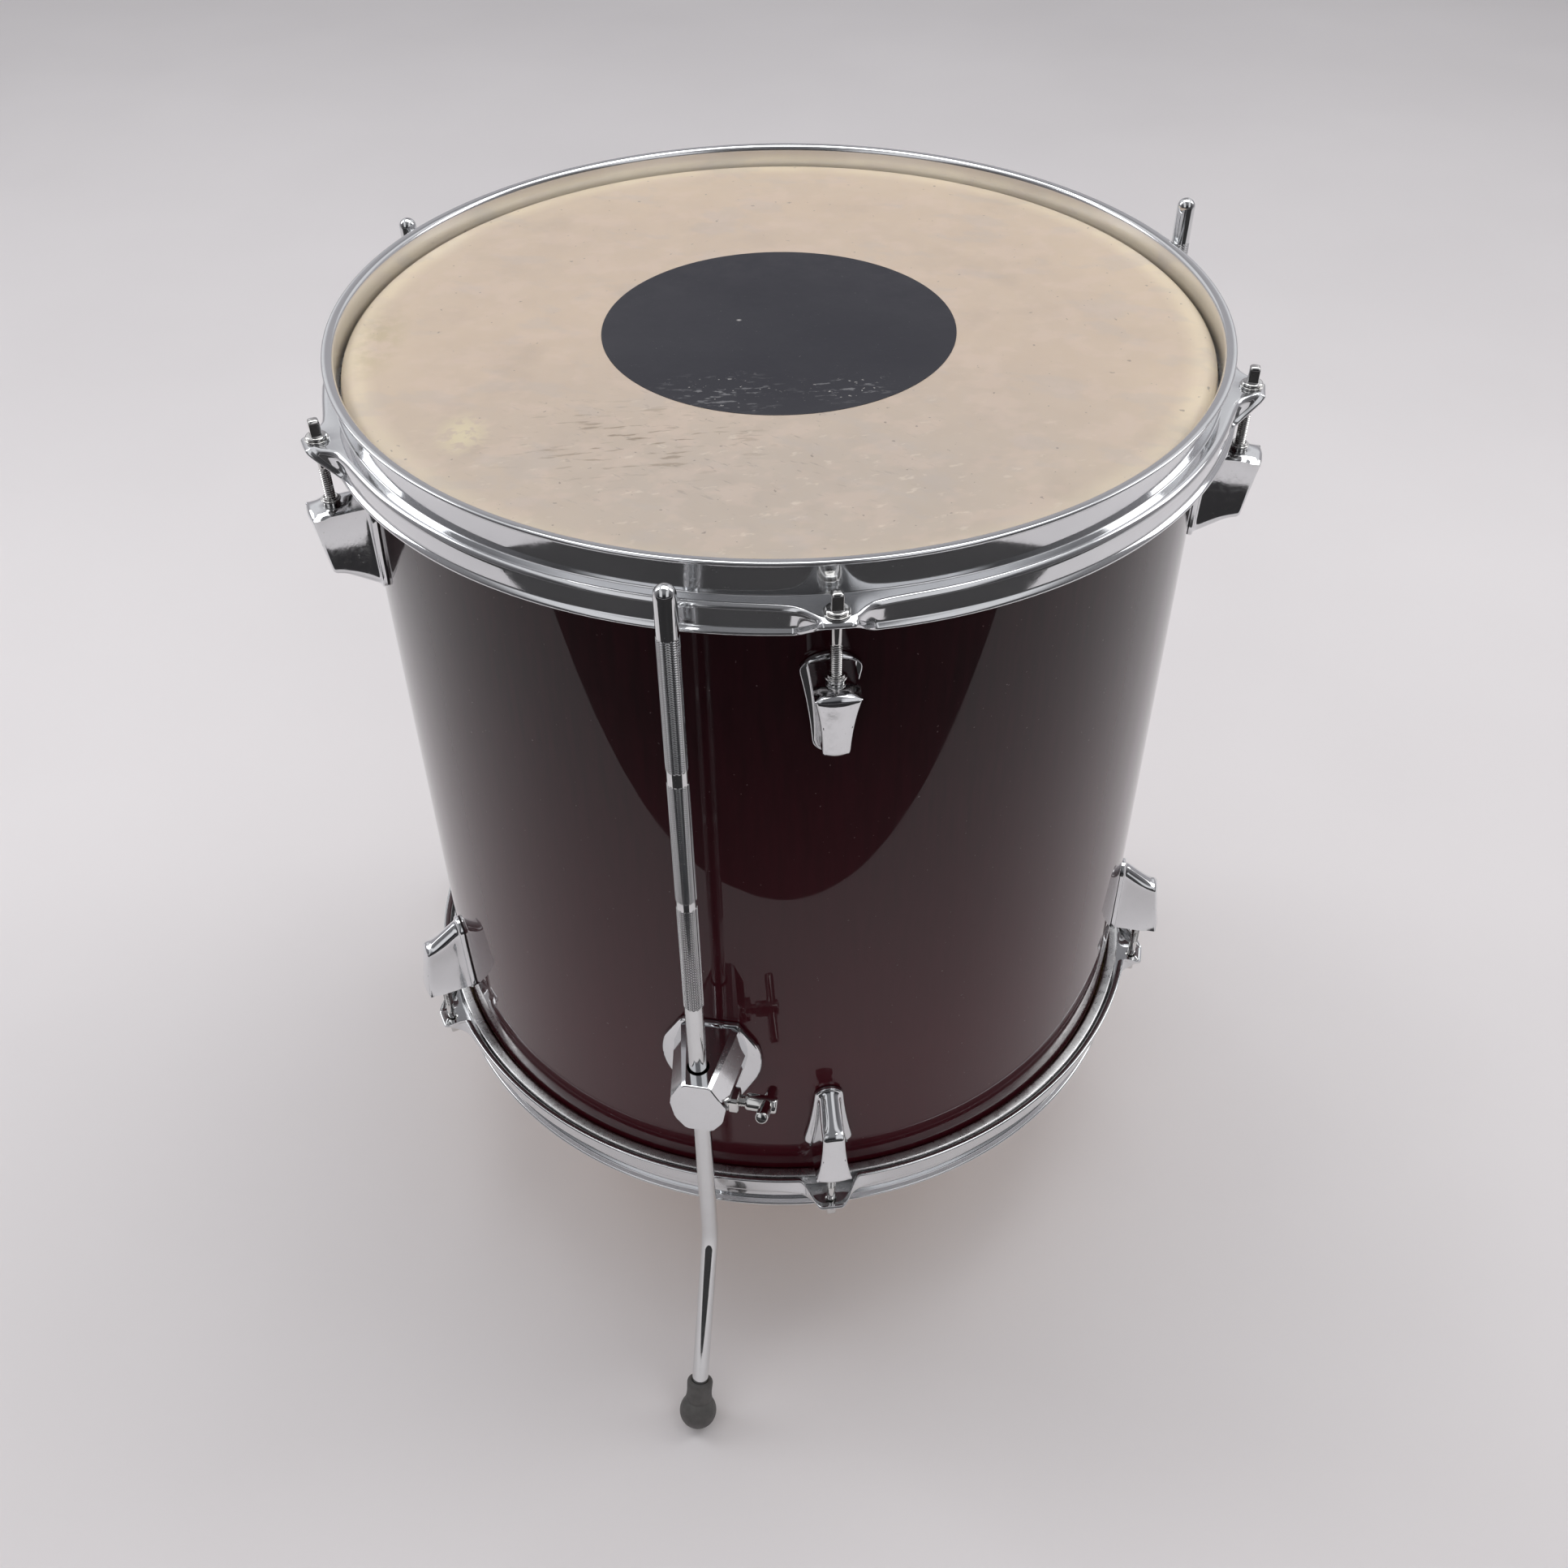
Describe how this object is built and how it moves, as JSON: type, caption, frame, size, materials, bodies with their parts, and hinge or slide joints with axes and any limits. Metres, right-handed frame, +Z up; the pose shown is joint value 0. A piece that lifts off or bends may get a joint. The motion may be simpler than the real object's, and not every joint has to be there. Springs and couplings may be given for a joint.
{
  "type": "floor tom drum",
  "caption": "Round floor tom with a dark lacquered wood shell, dotted batter head, chrome flanged hoops, lugs, and height-adjustable legs with rubber feet.",
  "frame": {"origin": "on the floor under the drum's own axis, level with the flats of the feet", "axes": "+Z up along the drum's axis towards the batter head, -Y towards the front, where one leg stands just to the left of a lug"},
  "size_m": [0.5155, 0.5027, 0.5468],
  "materials": {
    "shell_lacquer": "dark wine-red stain under high-gloss clear lacquer",
    "drum_film": "translucent cream polyester film, satin",
    "dot_film": "dark grey polyester film, satin",
    "hoop_chrome": "bright chrome on rolled steel",
    "flesh_hoop_metal": "plain extruded aluminium",
    "cast_chrome": "bright chrome on die-cast metal",
    "rod_steel": "bright plated steel",
    "leg_chrome": "bright chrome on knurled steel rod",
    "foot_rubber": "moulded dark grey rubber, matt",
    "gasket_black": "thin black gasket, matt",
    "screw_steel": "zinc-plated steel"
  },
  "bodies": {
    "drum": {"shell": "shell_lacquer", "vent_grommet": "screw_steel", "batter_head_film": "drum_film", "batter_head_dot": "dot_film", "batter_flesh_hoop": "flesh_hoop_metal", "resonant_head_film": "drum_film", "resonant_flesh_hoop": "flesh_hoop_metal", "batter_lug_1": "cast_chrome", "batter_lug_2": "cast_chrome", "batter_lug_3": "cast_chrome", "batter_lug_4": "cast_chrome", "batter_lug_5": "cast_chrome", "resonant_lug_1": "cast_chrome", "resonant_lug_2": "cast_chrome", "resonant_lug_3": "cast_chrome", "resonant_lug_4": "cast_chrome", "resonant_lug_5": "cast_chrome", "batter_swivel_nuts": "rod_steel", "resonant_swivel_nuts": "rod_steel", "lug_gaskets": "gasket_black", "lug_screws": "screw_steel", "leg_bracket_1": "cast_chrome", "leg_bracket_2": "cast_chrome", "leg_bracket_3": "cast_chrome", "bracket_gaskets": "gasket_black", "bracket_screws": "screw_steel", "clamp_nuts": "rod_steel"},
    "batter_hoop": {"batter_hoop": "hoop_chrome", "batter_rod_washers": "rod_steel"},
    "batter_rod_1": {"batter_tension_rod_1": "rod_steel"},
    "batter_rod_2": {"batter_tension_rod_2": "rod_steel"},
    "batter_rod_3": {"batter_tension_rod_3": "rod_steel"},
    "batter_rod_4": {"batter_tension_rod_4": "rod_steel"},
    "batter_rod_5": {"batter_tension_rod_5": "rod_steel"},
    "resonant_hoop": {"resonant_hoop": "hoop_chrome", "resonant_rod_washers": "rod_steel"},
    "resonant_rod_1": {"resonant_tension_rod_1": "rod_steel"},
    "resonant_rod_2": {"resonant_tension_rod_2": "rod_steel"},
    "resonant_rod_3": {"resonant_tension_rod_3": "rod_steel"},
    "resonant_rod_4": {"resonant_tension_rod_4": "rod_steel"},
    "resonant_rod_5": {"resonant_tension_rod_5": "rod_steel"},
    "leg_1": {"leg_1": "leg_chrome", "foot_1": "foot_rubber"},
    "wing_bolt_1": {"wing_bolt_1": "rod_steel"},
    "leg_2": {"leg_2": "leg_chrome", "foot_2": "foot_rubber"},
    "wing_bolt_2": {"wing_bolt_2": "rod_steel"},
    "leg_3": {"leg_3": "leg_chrome", "foot_3": "foot_rubber"},
    "wing_bolt_3": {"wing_bolt_3": "rod_steel"}
  },
  "joints": [
    {"name": "batter_hoop_lift", "type": "slide", "parent": "drum", "child": "batter_hoop", "axis": [0, 0, 1], "range_m": [0, 0.03]},
    {"name": "batter_rod_1_turn", "type": "hinge", "parent": "batter_hoop", "child": "batter_rod_1", "pos_m": [0.02067, -0.21863, 0.52639], "axis": [0, 0, 1], "range_deg": [0, 10207]},
    {"name": "batter_rod_2_turn", "type": "hinge", "parent": "batter_hoop", "child": "batter_rod_2", "pos_m": [0.21431, -0.0479, 0.52639], "axis": [0, 0, 1], "range_deg": [0, 10207]},
    {"name": "batter_rod_3_turn", "type": "hinge", "parent": "batter_hoop", "child": "batter_rod_3", "pos_m": [0.11178, 0.18902, 0.52639], "axis": [0, 0, 1], "range_deg": [0, 10207]},
    {"name": "batter_rod_4_turn", "type": "hinge", "parent": "batter_hoop", "child": "batter_rod_4", "pos_m": [-0.14522, 0.16472, 0.52639], "axis": [0, 0, 1], "range_deg": [0, 10207]},
    {"name": "batter_rod_5_turn", "type": "hinge", "parent": "batter_hoop", "child": "batter_rod_5", "pos_m": [-0.20154, -0.08721, 0.52639], "axis": [0, 0, 1], "range_deg": [0, 10207]},
    {"name": "resonant_hoop_lift", "type": "slide", "parent": "drum", "child": "resonant_hoop", "axis": [0, 0, -1], "range_m": [0, 0.03]},
    {"name": "resonant_rod_1_turn", "type": "hinge", "parent": "resonant_hoop", "child": "resonant_rod_1", "pos_m": [0.02334, -0.21836, 0.11999], "axis": [0, 0, -1], "range_deg": [0, 10207]},
    {"name": "resonant_rod_2_turn", "type": "hinge", "parent": "resonant_hoop", "child": "resonant_rod_2", "pos_m": [0.21488, -0.04528, 0.11999], "axis": [0, 0, -1], "range_deg": [0, 10207]},
    {"name": "resonant_rod_3_turn", "type": "hinge", "parent": "resonant_hoop", "child": "resonant_rod_3", "pos_m": [0.10947, 0.19037, 0.11999], "axis": [0, 0, -1], "range_deg": [0, 10207]},
    {"name": "resonant_rod_4_turn", "type": "hinge", "parent": "resonant_hoop", "child": "resonant_rod_4", "pos_m": [-0.14723, 0.16294, 0.11999], "axis": [0, 0, -1], "range_deg": [0, 10207]},
    {"name": "resonant_rod_5_turn", "type": "hinge", "parent": "resonant_hoop", "child": "resonant_rod_5", "pos_m": [-0.20046, -0.08967, 0.11999], "axis": [0, 0, -1], "range_deg": [0, 10207]},
    {"name": "leg_1_height", "type": "slide", "parent": "drum", "child": "leg_1", "axis": [0, 0, 1], "range_m": [-0.24, 0.09]},
    {"name": "wing_bolt_1_turn", "type": "hinge", "parent": "drum", "child": "wing_bolt_1", "pos_m": [-0.04249, -0.22706, 0.23489], "axis": [0.9829, -0.184, 0], "range_deg": [0, 720]},
    {"name": "leg_2_height", "type": "slide", "parent": "drum", "child": "leg_2", "axis": [0, 0, 1], "range_m": [-0.24, 0.09]},
    {"name": "wing_bolt_2_turn", "type": "hinge", "parent": "drum", "child": "wing_bolt_2", "pos_m": [0.20936, 0.09763, 0.23489], "axis": [-0.4226, 0.9063, 0], "range_deg": [0, 720]},
    {"name": "leg_3_height", "type": "slide", "parent": "drum", "child": "leg_3", "axis": [0, 0, 1], "range_m": [-0.24, 0.09]},
    {"name": "wing_bolt_3_turn", "type": "hinge", "parent": "drum", "child": "wing_bolt_3", "pos_m": [-0.19632, 0.12173, 0.23489], "axis": [-0.527, -0.8499, 0], "range_deg": [0, 720]}
  ],
  "couplings": [
    {"joint": "batter_rod_1_turn", "follows": "batter_hoop_lift", "rad_per_m": 5937.1},
    {"joint": "batter_rod_2_turn", "follows": "batter_hoop_lift", "rad_per_m": 5937.1},
    {"joint": "batter_rod_3_turn", "follows": "batter_hoop_lift", "rad_per_m": 5937.1},
    {"joint": "batter_rod_4_turn", "follows": "batter_hoop_lift", "rad_per_m": 5937.1},
    {"joint": "batter_rod_5_turn", "follows": "batter_hoop_lift", "rad_per_m": 5937.1},
    {"joint": "resonant_rod_1_turn", "follows": "resonant_hoop_lift", "rad_per_m": 5937.1},
    {"joint": "resonant_rod_2_turn", "follows": "resonant_hoop_lift", "rad_per_m": 5937.1},
    {"joint": "resonant_rod_3_turn", "follows": "resonant_hoop_lift", "rad_per_m": 5937.1},
    {"joint": "resonant_rod_4_turn", "follows": "resonant_hoop_lift", "rad_per_m": 5937.1},
    {"joint": "resonant_rod_5_turn", "follows": "resonant_hoop_lift", "rad_per_m": 5937.1}
  ]
}
